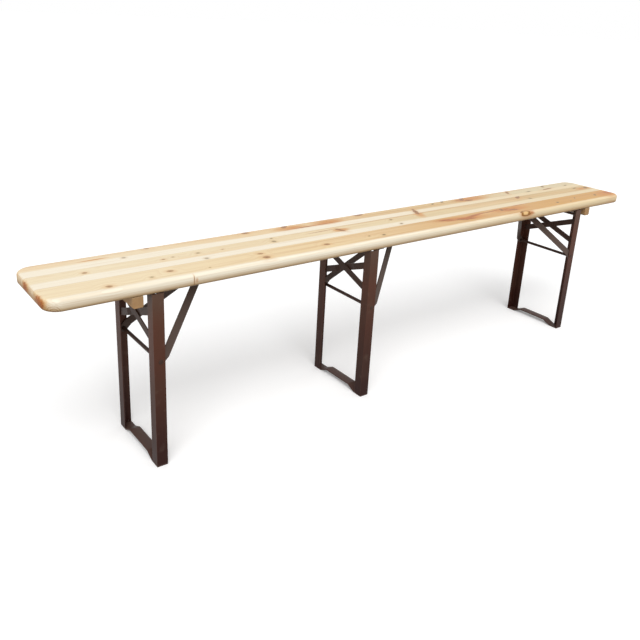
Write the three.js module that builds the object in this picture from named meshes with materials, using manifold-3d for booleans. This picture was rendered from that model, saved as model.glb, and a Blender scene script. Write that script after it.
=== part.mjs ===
// A long folding bench: a glued softwood board on three steel leg frames.
// Each frame turns up flat under the board on its axle, and a strut with two arms holds it upright.
// Millimetres, +Z up, +X along the bench, the origin on the floor under the middle of the board.

import * as THREE from "three";
import { mergeVertices } from "three/addons/utils/BufferGeometryUtils.js";
import Module from "manifold-3d";

const wasm = await Module();
wasm.setup();

// Board
const benchLength = 2200;
const benchWidth = 250;
const boardThickness = 30;
const seatHeight = 510;
const boardCornerRadius = 40;
const boardEdgeRadius = 8;

// Battens
const battenWidth = 27;
const battenHeight = 28;
const battenEndInset = 3;
const battenLegGap = 22;
const battenArris = 3;

// Places of the leg frames, measured to the outer face of the legs
// The middle frame stands where its guide leaves a clear run before the right one's
const endFrameShare = 0.77636;
const guideClearRun = 69.4;
const frameEdgeInset = 5;

// Legs of equal angle
const angleWidth = 30;
const angleThickness = 3;
const angleRootRadius = 2.5;
const angleToeRadius = 1.5;
const legSwingGap = 0.8;

// Foot bar
const footBarThickness = 4;
const footRise = 14;
const footFlatLength = 33;
const footRampLength = 30;
const footBendRadius = 12;
const footCornerRadius = 3;

// Crossed braces
const braceWidth = 20;
const braceThickness = 3;
const braceHighDrop = 46;
const braceLowDrop = 133;
const braceEndInset = 9;
const braceCrankLength = 62;
const braceRampLength = 16;
const braceBendRadius = 6;

// Hinge
const axleDiameter = 10;
const axleInset = 22;
const axleDrop = 20;
const bracketThickness = 3;
const bracketEarRadius = 9;
const bracketBaseLength = 40;
const bracketBaseWidth = 34;
const bracketScrewDiameter = 5;
const bracketScrewInset = 8;

// Strut
const rodDiameter = 10;
const rodInset = 18;
const rodDrop = 182.5;
const strutLength = 240;
const armWidth = 22;
const armThickness = 4;
const armBendStart = 22;
const armBendRadius = 10;
const armTipSpacing = 16;
const forkThickness = 4;
const forkWidth = 28;
const forkEyeRise = 5.5;
const forkSlotDepth = 6.8;

// Guide
const guideDiameter = 6;
const guideDrop = 8;
const guideStartMargin = 18;
const guideEndMargin = 13;
const guideBendLength = 16;
const guidePadLength = 24;
const guidePadWidth = 14;
const guidePadThickness = 3;
const guideScrewDiameter = 5;

// Catch
const catchWidth = 9;
const catchThickness = 1.2;
const catchFootLength = 20;
const catchNoseGap = 8;
const catchReach = 56;
const catchNoseDrop = 4.8;
const catchArmDrop = 3.8;
const catchTipLength = 3;
const catchTipRise = 1.4;
const catchRampLength = 9;
const catchNoseLength = 6;

// Riveted ends of the strut's rod
const rodHeadRadius = 6.5;
const rodHeadHeight = 1.2;
const headCrownShare = 0.6;

// Clearances, and the overrun of every cutting tool
const runningGap = 0.5;
const holeGap = 0.3;
const weldGap = 0.3;
const overrun = 5;

// Worked out from the driving dimensions
const underside = seatHeight - boardThickness;
const halfFrame = benchWidth / 2 - frameEdgeInset;
const endFrameOffset = (benchLength / 2) * endFrameShare;
const flangeInside = halfFrame - angleThickness;
const axleHeight = underside - axleDrop;
const rodHeight = underside - rodDrop;
const armOutside = flangeInside - runningGap;
const armRun = armOutside - armThickness / 2;

// The leg is so long that its inner top corner just clears the board when it turns on the axle
const cornerReach = axleDrop - legSwingGap;
const legTop = axleHeight + Math.sqrt(cornerReach ** 2 - (angleWidth - axleInset) ** 2);

// The strut reaches from its rod to its eye on the guide, with the bench standing and folded
const strutReach = Math.hypot(strutLength, forkEyeRise);
const eyeAngle = Math.atan2(forkEyeRise, strutLength);
const standingDrop = rodDrop - guideDrop;
const standingEye = rodInset + Math.sqrt(strutReach ** 2 - standingDrop ** 2);
const foldedRodPlace = axleInset + rodDrop - axleDrop;
const foldedDrop = axleDrop + axleInset - rodInset - guideDrop;
const foldedEye = foldedRodPlace + Math.sqrt(strutReach ** 2 - foldedDrop ** 2);
const strutAngle = Math.asin(standingDrop / strutReach) - eyeAngle;
const guideStart = standingEye - guideStartMargin;
const guideEnd = foldedEye + guideEndMargin;
const guideFarEnd = guideEnd + guideBendLength + guidePadLength + guideDiameter / 2;
const middleFrameOffset = 2 * guideFarEnd + guideClearRun - endFrameOffset;

// Colours, roughness and metalness
const steelPaint = { color: 0x4a2c28, roughness: 0.45, metalness: 0.25 };
const shadedPaint = { color: 0x54403a, roughness: 0.5, metalness: 0.25 };
const springSteel = { color: 0x5c5a58, roughness: 0.35, metalness: 0.9 };
const paleWood = { color: 0xf2dcb4, roughness: 0.4, metalness: 0 };
const warmWood = { color: 0xe9c898, roughness: 0.4, metalness: 0 };
const battenWood = { color: 0xae8c65, roughness: 0.7, metalness: 0 };

function finish(values) {
  return new THREE.MeshStandardMaterial(values);
}

// Solids: joining and cutting closed meshes
function toSolid(geometry) {
  const bare = geometry.clone();
  bare.deleteAttribute("normal");
  bare.deleteAttribute("uv");
  const merged = mergeVertices(bare);
  return new wasm.Manifold(
    new wasm.Mesh({
      numProp: 3,
      vertProperties: new Float32Array(merged.attributes.position.array),
      triVerts: new Uint32Array(merged.index.array),
    }),
  );
}

function toGeometry(solid) {
  const mesh = solid.getMesh();
  const geometry = new THREE.BufferGeometry();
  geometry.setAttribute("position", new THREE.BufferAttribute(mesh.vertProperties, 3));
  geometry.setIndex(new THREE.BufferAttribute(mesh.triVerts, 1));
  const faceted = geometry.toNonIndexed();
  faceted.computeVertexNormals();
  return faceted;
}

function cut(body, ...tools) {
  let solid = toSolid(body);
  for (const tool of tools) {
    solid = solid.subtract(toSolid(tool));
  }
  return toGeometry(solid);
}

function common(body, other) {
  return toGeometry(toSolid(body).intersect(toSolid(other)));
}

function join(body, ...others) {
  let solid = toSolid(body);
  for (const other of others) {
    solid = solid.add(toSolid(other));
  }
  return toGeometry(solid);
}

// A sheet that lies flat: the outline is in x and y
function flatPlate(outline, bottom, top) {
  const sheet = new THREE.ExtrudeGeometry(outline, { depth: top - bottom, bevelEnabled: false });
  return sheet.translate(0, 0, bottom);
}

// A sheet that stands along the bench: the outline is in x and z
function sidePlate(outline, near, far) {
  const sheet = new THREE.ExtrudeGeometry(outline, { depth: far - near, bevelEnabled: false });
  return sheet.rotateX(Math.PI / 2).translate(0, far, 0);
}

// A sheet that stands across the bench: the outline is in y and z
function crossPlate(outline, low, high) {
  const sheet = new THREE.ExtrudeGeometry(outline, { depth: high - low, bevelEnabled: false });
  return sheet.rotateX(Math.PI / 2).rotateZ(Math.PI / 2).translate(low, 0, 0);
}

function crossHole(radius, x, z) {
  const drill = new THREE.CylinderGeometry(radius, radius, benchWidth + overrun, 16);
  return drill.translate(x, 0, z);
}

function downHole(radius, x, y, z) {
  const drill = new THREE.CylinderGeometry(radius, radius, boardThickness, 12);
  return drill.rotateX(Math.PI / 2).translate(x, y, z);
}

function roundedRectangle(left, bottom, right, top, radius) {
  const outline = new THREE.Shape();
  outline.moveTo(left + radius, bottom);
  outline.lineTo(right - radius, bottom);
  outline.absarc(right - radius, bottom + radius, radius, -Math.PI / 2, 0);
  outline.lineTo(right, top - radius);
  outline.absarc(right - radius, top - radius, radius, 0, Math.PI / 2);
  outline.lineTo(left + radius, top);
  outline.absarc(left + radius, top - radius, radius, Math.PI / 2, Math.PI);
  outline.lineTo(left, bottom + radius);
  outline.absarc(left + radius, bottom + radius, radius, Math.PI, 1.5 * Math.PI);
  return outline;
}

function rectangle(left, bottom, right, top) {
  const outline = new THREE.Shape();
  outline.moveTo(left, bottom);
  outline.lineTo(right, bottom);
  outline.lineTo(right, top);
  outline.lineTo(left, top);
  return outline;
}

// The middle line of a bent flat bar, with each corner eased to a bend
function bentLine(corners, bendRadius) {
  const line = [corners[0]];
  for (let i = 1; i < corners.length - 1; i++) {
    const before = corners[i - 1].clone().sub(corners[i]);
    const after = corners[i + 1].clone().sub(corners[i]);
    const turn = Math.PI - Math.acos(before.dot(after) / before.length() / after.length());
    const wanted = bendRadius * Math.tan(turn / 2);
    const setback = Math.min(wanted, before.length() / 2, after.length() / 2);
    const start = corners[i].clone().add(before.setLength(setback));
    const end = corners[i].clone().add(after.setLength(setback));
    line.push(...new THREE.QuadraticBezierCurve(start, corners[i], end).getPoints(3));
  }
  line.push(corners[corners.length - 1]);
  return line;
}

// The edge-on outline of a flat bar of even thickness along a middle line
function barOutline(line, thickness) {
  const left = [];
  const right = [];
  line.forEach((point, i) => {
    const before = line[Math.max(i - 1, 0)];
    const after = line[Math.min(i + 1, line.length - 1)];
    const into = point.clone().sub(i ? before : point.clone().multiplyScalar(2).sub(after)).normalize();
    const out = (i < line.length - 1 ? after.clone().sub(point) : into.clone()).normalize();
    const middle = into.clone().add(out).normalize();
    const mitre = thickness / 2 / Math.max(middle.dot(into), 0.5);
    const side = new THREE.Vector2(-middle.y, middle.x).multiplyScalar(mitre);
    left.push(point.clone().add(side));
    right.push(point.clone().sub(side));
  });
  return new THREE.Shape([...right, ...left.reverse()]);
}

const bench = new THREE.Group();

function addPiece(parent, name, geometry, material) {
  const mesh = new THREE.Mesh(geometry, finish(material));
  mesh.name = name;
  parent.add(mesh);
  return mesh;
}

// Board: one rounded blank, sawn into the planks that it is glued up from
function boardBlank() {
  const outline = roundedRectangle(
    -benchLength / 2 + boardEdgeRadius,
    -benchWidth / 2 + boardEdgeRadius,
    benchLength / 2 - boardEdgeRadius,
    benchWidth / 2 - boardEdgeRadius,
    boardCornerRadius - boardEdgeRadius,
  );
  const blank = new THREE.ExtrudeGeometry(outline, {
    depth: boardThickness - 2 * boardEdgeRadius,
    bevelThickness: boardEdgeRadius,
    bevelSize: boardEdgeRadius,
    bevelSegments: 4,
    curveSegments: 8,
  });
  return blank.translate(0, 0, underside + boardEdgeRadius);
}

function addBoard() {
  const blank = boardBlank();
  const names = ["plank_front", "plank_middle", "plank_back"];
  const plankWidth = benchWidth / names.length;
  names.forEach((name, i) => {
    const near = -benchWidth / 2 + i * plankWidth;
    const slab = rectangle(-benchLength / 2, near, benchLength / 2, near + plankWidth);
    const plank = common(blank, flatPlate(slab, underside, seatHeight));
    addPiece(bench, name, plank, i % 2 ? warmWood : paleWood);
  });
}

// Battens: planed softwood, the two lower edges eased
function addBatten(name, inward) {
  const outer = endFrameOffset + battenLegGap + battenWidth;
  const inner = endFrameOffset + battenLegGap;
  const bottom = underside - battenHeight;
  const outline = new THREE.Shape();
  outline.moveTo(inner, underside);
  outline.lineTo(inner, bottom + battenArris);
  outline.lineTo(inner + battenArris, bottom);
  outline.lineTo(outer - battenArris, bottom);
  outline.lineTo(outer, bottom + battenArris);
  outline.lineTo(outer, underside);
  const halfLength = benchWidth / 2 - battenEndInset;
  const batten = addPiece(bench, name, sidePlate(outline, -halfLength, halfLength), battenWood);
  batten.rotation.z = inward > 0 ? Math.PI : 0;
}

// Leg: a rolled angle with its corner outboard, sawn off square just below the board
function legGeometry() {
  const outline = new THREE.Shape();
  const flangeEnd = halfFrame - angleWidth;
  outline.moveTo(0, halfFrame);
  outline.lineTo(0, flangeEnd);
  outline.lineTo(angleThickness - angleToeRadius, flangeEnd);
  outline.absarc(
    angleThickness - angleToeRadius,
    flangeEnd + angleToeRadius,
    angleToeRadius,
    -Math.PI / 2,
    0,
  );
  outline.lineTo(angleThickness, flangeInside - angleRootRadius);
  outline.absarc(
    angleThickness + angleRootRadius,
    flangeInside - angleRootRadius,
    angleRootRadius,
    Math.PI,
    Math.PI / 2,
    true,
  );
  outline.lineTo(angleWidth - angleToeRadius, flangeInside);
  outline.absarc(
    angleWidth - angleToeRadius,
    flangeInside + angleToeRadius,
    angleToeRadius,
    -Math.PI / 2,
    0,
  );
  outline.lineTo(angleWidth, halfFrame);
  const angle = new THREE.ExtrudeGeometry(outline, {
    depth: legTop - footBarThickness,
    bevelEnabled: false,
    curveSegments: 3,
  }).translate(0, 0, footBarThickness);
  return cut(angle, crossHole(rodDiameter / 2 + holeGap, rodInset, rodHeight));
}

// Foot bar: flat steel under both legs, bent up between them
function footBarGeometry() {
  const low = footBarThickness / 2;
  const high = low + footRise;
  const flat = halfFrame - footFlatLength;
  const ramp = flat - footRampLength;
  const corners = [
    [-halfFrame, low],
    [-flat, low],
    [-ramp, high],
    [ramp, high],
    [flat, low],
    [halfFrame, low],
  ].map(([y, z]) => new THREE.Vector2(y, z));
  const bar = crossPlate(
    barOutline(bentLine(corners, footBendRadius), footBarThickness),
    0,
    angleWidth,
  );
  const plan = roundedRectangle(0, -halfFrame, angleWidth, halfFrame, footCornerRadius);
  return common(bar, flatPlate(plan, -overrun, high + overrun));
}

// Brace: flat bar against the legs' inner faces; the second one is cranked over the first
function braceGeometry(cranked) {
  const rise = braceLowDrop - braceHighDrop;
  const halfSpan = halfFrame - braceEndInset;
  const tilt = Math.atan2(rise, 2 * flangeInside);
  const halfLength = halfSpan / Math.cos(tilt) - (braceWidth / 2) * Math.tan(tilt);
  const middle = angleThickness + braceThickness / 2;
  const over = middle + (cranked ? braceThickness + weldGap : 0);
  const crank = braceCrankLength / 2;
  const corners = [
    [middle, -halfLength],
    [middle, -crank - braceRampLength],
    [over, -crank],
    [over, crank],
    [middle, crank + braceRampLength],
    [middle, halfLength],
  ].map(([x, y]) => new THREE.Vector2(x, y));
  const line = cranked ? bentLine(corners, braceBendRadius) : [corners[0], corners[5]];
  const bar = flatPlate(barOutline(line, braceThickness), -braceWidth / 2, braceWidth / 2);
  return { bar, tilt };
}

// Axle: a plain round bar, butted and welded between the legs
function axleGeometry() {
  const bar = new THREE.CylinderGeometry(axleDiameter / 2, axleDiameter / 2, 2 * flangeInside, 16);
  return bar.translate(axleInset, 0, axleHeight);
}

// Rod: a round bar through both legs, on which the strut turns, with a low riveted head at each end
function rodGeometry() {
  const radius = rodDiameter / 2;
  const crown = rodHeadRadius * headCrownShare;
  const profile = [
    new THREE.Vector2(0, -halfFrame - rodHeadHeight),
    new THREE.Vector2(crown, -halfFrame - rodHeadHeight),
    new THREE.Vector2(rodHeadRadius, -halfFrame),
    new THREE.Vector2(radius, -halfFrame),
    new THREE.Vector2(radius, halfFrame),
    new THREE.Vector2(rodHeadRadius, halfFrame),
    new THREE.Vector2(crown, halfFrame + rodHeadHeight),
    new THREE.Vector2(0, halfFrame + rodHeadHeight),
  ];
  return new THREE.LatheGeometry(profile, 16).translate(rodInset, 0, rodHeight);
}

// Hinge bracket: a bent plate, its base under the board and its ear beside the leg
function bracketGeometry() {
  const outside = flangeInside - runningGap;
  const inside = outside - bracketThickness;
  const base = roundedRectangle(
    axleInset - bracketEarRadius,
    outside - bracketBaseWidth,
    axleInset - bracketEarRadius + bracketBaseLength,
    outside,
    bracketThickness,
  );
  const ear = new THREE.Shape();
  ear.moveTo(axleInset - bracketEarRadius, underside - bracketThickness / 2);
  ear.lineTo(axleInset - bracketEarRadius, axleHeight);
  ear.absarc(axleInset, axleHeight, bracketEarRadius, Math.PI, 2 * Math.PI);
  ear.lineTo(axleInset + bracketEarRadius, underside - 2 * bracketThickness);
  ear.lineTo(axleInset + bracketEarRadius + 2 * bracketThickness, underside - bracketThickness / 2);
  const cornerX = axleInset - bracketEarRadius + bracketBaseLength - bracketScrewInset;
  const cornerY = outside - bracketBaseWidth + bracketScrewInset;
  return cut(
    join(
      flatPlate(base, underside - bracketThickness, underside),
      sidePlate(ear, inside, outside),
    ),
    crossHole(axleDiameter / 2 + holeGap, axleInset, axleHeight),
    downHole(bracketScrewDiameter / 2, cornerX, cornerY, underside),
    downHole(bracketScrewDiameter / 2, axleInset, cornerY, underside),
  );
}

// Strut arm, drawn along x from the rod to the fork: parallel to the leg, then bent inwards
function armGeometry() {
  const tip = strutLength - forkThickness / 2 - weldGap;
  const corners = [
    [-armWidth / 2, armRun],
    [armBendStart, armRun],
    [tip, armTipSpacing / 2],
  ].map(([x, y]) => new THREE.Vector2(x, y));
  const outside = barOutline(bentLine(corners, armBendRadius), armThickness);
  const bar = flatPlate(outside, -armWidth / 2, armWidth / 2);
  const side = new THREE.Shape();
  side.moveTo(0, -armWidth / 2);
  side.lineTo(tip, -armWidth / 2);
  side.lineTo(tip, armWidth / 2);
  side.lineTo(0, armWidth / 2);
  side.absarc(0, 0, armWidth / 2, Math.PI / 2, 1.5 * Math.PI);
  return cut(
    common(bar, sidePlate(side, 0, benchWidth)),
    crossHole(rodDiameter / 2 + holeGap, 0, 0),
  );
}

// Fork: a plate across the arm tips, its slot open upwards round the guide
function forkGeometry() {
  const top = armWidth / 2;
  const slot = guideDiameter / 2 + runningGap;
  const slotBottom = forkEyeRise - forkSlotDepth;
  const outline = new THREE.Shape();
  outline.moveTo(-forkWidth / 2, -armWidth / 2);
  outline.lineTo(forkWidth / 2, -armWidth / 2);
  outline.lineTo(forkWidth / 2, top);
  outline.lineTo(slot, top);
  outline.lineTo(slot, slotBottom + slot);
  outline.absarc(0, slotBottom + slot, slot, 0, Math.PI, true);
  outline.lineTo(-slot, top);
  outline.lineTo(-forkWidth / 2, top);
  return crossPlate(outline, strutLength - forkThickness / 2, strutLength + forkThickness / 2);
}

// Guide: a round bar that stands off the board, its ends flattened and drilled
function guideGeometry() {
  const run = underside - guideDrop;
  const end = underside - guidePadThickness;
  const low = guideStart - guideBendLength;
  const high = guideEnd + guideBendLength;
  const path = new THREE.CurvePath();
  const at = (x, z) => new THREE.Vector3(x, 0, z);
  path.add(new THREE.QuadraticBezierCurve3(at(low, end), at(low + guideDiameter, run), at(guideStart, run)));
  path.add(new THREE.LineCurve3(at(guideStart, run), at(guideEnd, run)));
  path.add(new THREE.QuadraticBezierCurve3(at(guideEnd, run), at(high - guideDiameter, run), at(high, end)));
  const section = new THREE.Shape();
  section.absarc(0, 0, guideDiameter / 2, 0, 2 * Math.PI);
  const bar = new THREE.ExtrudeGeometry(section, {
    extrudePath: path,
    steps: 40,
    curveSegments: 4,
  });
  const pads = [low - guidePadLength / 2, high + guidePadLength / 2].map((x) => guidePad(x));
  const above = flatPlate(rectangle(0, -benchWidth, benchLength, benchWidth), underside, seatHeight);
  return cut(join(bar, ...pads), above);
}

function guidePad(x) {
  const half = guidePadLength / 2 + guideDiameter / 2;
  const outline = roundedRectangle(
    x - half,
    -guidePadWidth / 2,
    x + half,
    guidePadWidth / 2,
    guidePadWidth / 2 - guidePadThickness / 2,
  );
  return cut(
    flatPlate(outline, underside - guidePadThickness, underside),
    downHole(guideScrewDiameter / 2, x, 0, underside),
  );
}

// Catch: a leaf spring beside the guide, its nose just inboard of the fork
function catchGeometry() {
  const nose = standingEye + catchNoseGap;
  const bend = nose + catchReach;
  const half = catchThickness / 2;
  const corners = [
    [nose - catchTipLength, catchNoseDrop - catchTipRise],
    [nose, catchNoseDrop - half],
    [nose + catchNoseLength, catchArmDrop - half],
    [bend - catchRampLength, catchArmDrop - half],
    [bend, half],
    [bend + catchFootLength, half],
  ].map(([x, drop]) => new THREE.Vector2(x, underside - drop));
  const near = guideDiameter / 2 + runningGap + catchThickness;
  return sidePlate(barOutline(corners, catchThickness), near, near + catchWidth);
}

// One leg frame with its strut, guide and catch, at its place under the board
function addFrame(name, place, inward) {
  const frame = new THREE.Group();
  frame.position.x = place;
  frame.rotation.z = inward > 0 ? 0 : Math.PI;
  bench.add(frame);

  const strut = new THREE.Group();
  strut.position.set(rodInset, 0, rodHeight);
  strut.rotation.y = -strutAngle;
  frame.add(strut);

  for (const [side, reach] of [["front", -inward], ["back", inward]]) {
    const leg = addPiece(frame, `${name}_leg_${side}`, legGeometry(), steelPaint);
    const bracket = addPiece(frame, `${name}_hinge_bracket_${side}`, bracketGeometry(), steelPaint);
    const arm = addPiece(strut, `${name}_strut_arm_${side}`, armGeometry(), shadedPaint);
    leg.scale.y = reach;
    bracket.scale.y = reach;
    arm.scale.y = reach;
  }

  addPiece(frame, `${name}_foot_bar`, footBarGeometry(), steelPaint);
  for (const [which, turn] of [["flat", 1], ["cranked", -1]]) {
    const { bar, tilt } = braceGeometry(which === "cranked");
    const brace = addPiece(frame, `${name}_brace_${which}`, bar, shadedPaint);
    brace.position.z = underside - (braceHighDrop + braceLowDrop) / 2;
    brace.rotation.x = turn * inward * tilt;
  }

  addPiece(frame, `${name}_hinge_axle`, axleGeometry(), steelPaint);
  addPiece(frame, `${name}_strut_rod`, rodGeometry(), steelPaint);
  addPiece(strut, `${name}_strut_fork`, forkGeometry(), shadedPaint);
  addPiece(frame, `${name}_guide_bar`, guideGeometry(), steelPaint);
  addPiece(frame, `${name}_catch_spring`, catchGeometry(), springSteel);
}

addBoard();
addBatten("batten_left", 1);
addBatten("batten_right", -1);
addFrame("left", -endFrameOffset, 1);
addFrame("middle", -middleFrameOffset, 1);
addFrame("right", endFrameOffset, -1);

export default bench;
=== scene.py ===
# A folding bench: one long lacquered board on three folding frames of enamelled steel.
# Metres, +Z up, +X along the bench, the origin on the floor under the middle of the board.

import math
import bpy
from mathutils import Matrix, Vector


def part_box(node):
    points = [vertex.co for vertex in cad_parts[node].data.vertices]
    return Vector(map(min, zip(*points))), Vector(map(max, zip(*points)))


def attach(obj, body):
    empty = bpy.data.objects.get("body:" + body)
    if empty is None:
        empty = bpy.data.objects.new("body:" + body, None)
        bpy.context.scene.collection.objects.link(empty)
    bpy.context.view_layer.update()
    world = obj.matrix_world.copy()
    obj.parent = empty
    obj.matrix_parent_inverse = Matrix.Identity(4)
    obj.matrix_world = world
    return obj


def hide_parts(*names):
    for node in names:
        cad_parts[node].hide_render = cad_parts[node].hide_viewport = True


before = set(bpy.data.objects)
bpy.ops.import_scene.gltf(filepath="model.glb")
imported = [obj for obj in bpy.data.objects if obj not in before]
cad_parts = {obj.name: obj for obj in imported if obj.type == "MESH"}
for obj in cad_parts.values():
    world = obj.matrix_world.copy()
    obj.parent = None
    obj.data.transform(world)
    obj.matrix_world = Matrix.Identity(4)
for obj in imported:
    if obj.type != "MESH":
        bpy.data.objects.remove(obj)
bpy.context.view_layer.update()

from types import SimpleNamespace

import bmesh
import bpy
from mathutils import Matrix, Vector


# Picture
# The photograph is taken by someone standing off the bench's left end, looking along it and down.
# Its vertical lines lean a little, and its centre lies low in the frame.
picture_pixels = 640
focal_pixels = 713.8
principal_pixel = (315.1, 267.6)
camera_place = Vector((-1.4946, -1.5786, 1.1187))
camera_yaw = math.radians(37.45)
camera_pitch = math.radians(19.64)
camera_roll = math.radians(2.91)


def new_object(name, data):
    """Puts a camera, a lamp or a mesh into the scene."""
    item = bpy.data.objects.new(name, data)
    bpy.context.collection.objects.link(item)
    return item


forward = Vector((
    math.sin(camera_yaw) * math.cos(camera_pitch),
    math.cos(camera_yaw) * math.cos(camera_pitch),
    -math.sin(camera_pitch),
))
level_right = Vector((math.cos(camera_yaw), -math.sin(camera_yaw), 0))
level_up = level_right.cross(forward)
right = level_right * math.cos(camera_roll) + level_up * math.sin(camera_roll)
up = right.cross(forward)
camera_turn = Matrix((right, up, -forward)).transposed().to_4x4()
camera_data = bpy.data.cameras.new("camera")
camera_data.lens = focal_pixels / picture_pixels * camera_data.sensor_width
camera_data.shift_x = (picture_pixels / 2 - principal_pixel[0]) / picture_pixels
camera_data.shift_y = (principal_pixel[1] - picture_pixels / 2) / picture_pixels
camera_data.clip_end = 200
camera = new_object("camera", camera_data)
camera.matrix_world = Matrix.Translation(camera_place) @ camera_turn
bpy.context.scene.camera = camera
bpy.context.scene.view_settings.view_transform = "Standard"


# Studio
# A white floor that runs to a white horizon, a pale sky all round, and one wide soft light
# high over the front left, so that the top of the board is bright and its front side a little darker.
class Field:
    """A value that varies over a surface. Arithmetic on it adds nodes to its graph."""

    def __init__(self, graph, socket):
        self.graph = graph
        self.socket = socket

    def maths(self, operation, first, second=0.0):
        return self.graph.node("ShaderNodeMath", {"operation": operation}, {0: first, 1: second})

    def __add__(self, other):
        return self.maths("ADD", self, other)

    def __sub__(self, other):
        return self.maths("SUBTRACT", self, other)

    def __rsub__(self, other):
        return self.maths("SUBTRACT", other, self)

    def __mul__(self, other):
        return self.maths("MULTIPLY", self, other)

    def __truediv__(self, other):
        return self.maths("DIVIDE", self, other)

    def __pow__(self, other):
        return self.maths("POWER", self, other)

    def __abs__(self):
        return self.maths("ABSOLUTE", self)

    __radd__ = __add__
    __rmul__ = __mul__

    def least(self, other):
        return self.maths("MINIMUM", self, other)

    def fraction(self):
        return self.maths("FRACT", self)

    def rise(self, low, high):
        """0 below low, 1 above high, and a soft step between."""
        limits = {"Value": self, "From Min": low, "From Max": high}
        return self.graph.node("ShaderNodeMapRange", {"interpolation_type": "SMOOTHSTEP"}, limits)

    def fall(self, low, high):
        """1 below low, 0 above high, and a soft step between."""
        return 1 - self.rise(low, high)

    def stained(self, share, stain, blend="MIX"):
        """This colour with a share of a written colour over it."""
        return self.graph.mix(share, self, colour(stain), blend)

    def feed(self, shader, name):
        """Links this value to a socket of a shader."""
        self.graph.tree.links.new(self.socket, shader.inputs[name])


class Graph:
    """A node tree that is filled by one method."""

    def __init__(self, tree):
        self.tree = tree

    def node(self, kind, settings=None, inputs=None, output=0):
        node = self.tree.nodes.new(kind)
        for name, value in (settings or {}).items():
            setattr(node, name, value)
        for name, value in (inputs or {}).items():
            if isinstance(value, Field):
                self.tree.links.new(value.socket, node.inputs[name])
            else:
                node.inputs[name].default_value = value
        return Field(self, node.outputs[output])

    def mix(self, share, first, second, blend="MIX"):
        settings = {"data_type": "RGBA", "blend_type": blend}
        return self.node("ShaderNodeMix", settings, {0: share, 6: first, 7: second}, 2)

    def stretch(self, vector, scales):
        return self.node("ShaderNodeVectorMath", {"operation": "MULTIPLY"}, {0: vector, 1: scales})

    def shift(self, vector, offset):
        return self.node("ShaderNodeVectorMath", {"operation": "ADD"}, {0: vector, 1: offset})

    def noise(self, vector, scale, detail):
        values = {"Vector": vector, "Scale": scale, "Detail": detail}
        return self.node("ShaderNodeTexNoise", None, values)

    def grain(self, vector, scales, detail):
        """Noise with a scale of its own along each axis."""
        return self.noise(self.stretch(vector, scales), 1.0, detail)

    def attribute(self, name):
        return self.node("ShaderNodeAttribute", {"attribute_name": name}, output="Fac")


def colour(text):
    """A written sRGB colour as the linear colour that a shader takes."""
    parts = [int(text[i:i + 2], 16) / 255 for i in (0, 2, 4)]
    return (*[c / 12.92 if c <= 0.04045 else ((c + 0.055) / 1.055) ** 2.4 for c in parts], 1)


def new_finish(name, constants):
    """A material, its graph, its shader node with these constants on its sockets, and its coordinates."""
    material = bpy.data.materials.new(name)
    material.use_nodes = True
    graph = Graph(material.node_tree)
    shader = material.node_tree.nodes["Principled BSDF"]
    for socket, value in constants.items():
        shader.inputs[socket].default_value = value
    place = graph.node("ShaderNodeTexCoord", output="Object")
    return material, graph, shader, place


def shown_directly(graph):
    """1 for rays from the eye, a gloss or a glass, and 0 for rays that only carry light about."""
    share = 0
    for kind in ("Is Camera Ray", "Is Glossy Ray", "Is Transmission Ray"):
        share = graph.node("ShaderNodeLightPath", output=kind) + share
    return share.least(1)


white = (1, 1, 1, 1)
floor_half_size = 60
floor_glow = 0.12
floor_finish, graph, shader, place = new_finish("studio floor", {
    "Roughness": 0.9, "Specular IOR Level": 0.1,
})
seen = shown_directly(graph)
mottle = graph.noise(place, 0.7, 3)
tone = graph.mix(mottle, colour("9a9a98"), colour("a2a2a0")).stained(seen, "fafafa")
tone.feed(shader, "Base Color")
glow = graph.node("ShaderNodeEmission", None, {"Color": white, "Strength": seen * floor_glow})
glowing_floor = graph.node("ShaderNodeAddShader", None, {0: Field(graph, shader.outputs[0]), 1: glow})
glowing_floor.feed(graph.tree.nodes["Material Output"], "Surface")
floor_mesh = bpy.data.meshes.new("studio floor")
quarters = ((-1, -1), (1, -1), (1, 1), (-1, 1))
corners = [(x * floor_half_size, y * floor_half_size, 0) for x, y in quarters]
floor_mesh.from_pydata(corners, [], [(0, 1, 2, 3)])
floor_mesh.materials.append(floor_finish)
new_object("studio_floor", floor_mesh)

sky_level = 0.56
world = bpy.data.worlds.new("studio sky")
bpy.context.scene.world = world
world.use_nodes = True
graph = Graph(world.node_tree)
background = world.node_tree.nodes["Background"]
background.inputs["Color"].default_value = white
strength = sky_level + shown_directly(graph) * (1 - sky_level)
strength.feed(background, "Strength")

lamp_side = Vector((-0.6, -1.15, 1.42))
lamp_data = bpy.data.lights.new("key lamp", "SUN")
lamp_data.energy = 2.25
lamp_data.angle = math.radians(50)
lamp = new_object("key_lamp", lamp_data)
lamp.rotation_euler = lamp_side.to_track_quat("Z", "Y").to_euler()


# Board
# Three planks of spruce, glued edge to edge, planed together, rounded with a router and lacquered.
# Each keeps a pale strip of sapwood along its near edge, its own run of growth rings, and its knots.
merge_distance = 0.000005
flat_angle = math.radians(1)
square_angle = math.radians(40)
solid_crease = 38
no_knot_distance = 9.0
through_knot_depth = 1000
ring_sway = 0.03
ring_ripple = 0.0016
knot_swerve = 0.006
sap_sway = 0.022
sap_ripple = 0.004
side_shade_heights = (0.481, 0.502)
joint_half_widths = (0.0002, 0.0008)


def keep_mesh(name, shape):
    """Keeps a shape as a mesh and frees it."""
    mesh = bpy.data.meshes.new(name)
    shape.to_mesh(mesh)
    shape.free()
    return mesh


def shade_smooth(mesh, crease):
    """Shades a mesh smooth, but for the edges that turn by more than the crease, in degrees."""
    mesh.polygons.foreach_set("use_smooth", [True] * len(mesh.polygons))
    mesh.set_sharp_from_angle(angle=math.radians(crease))


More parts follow.
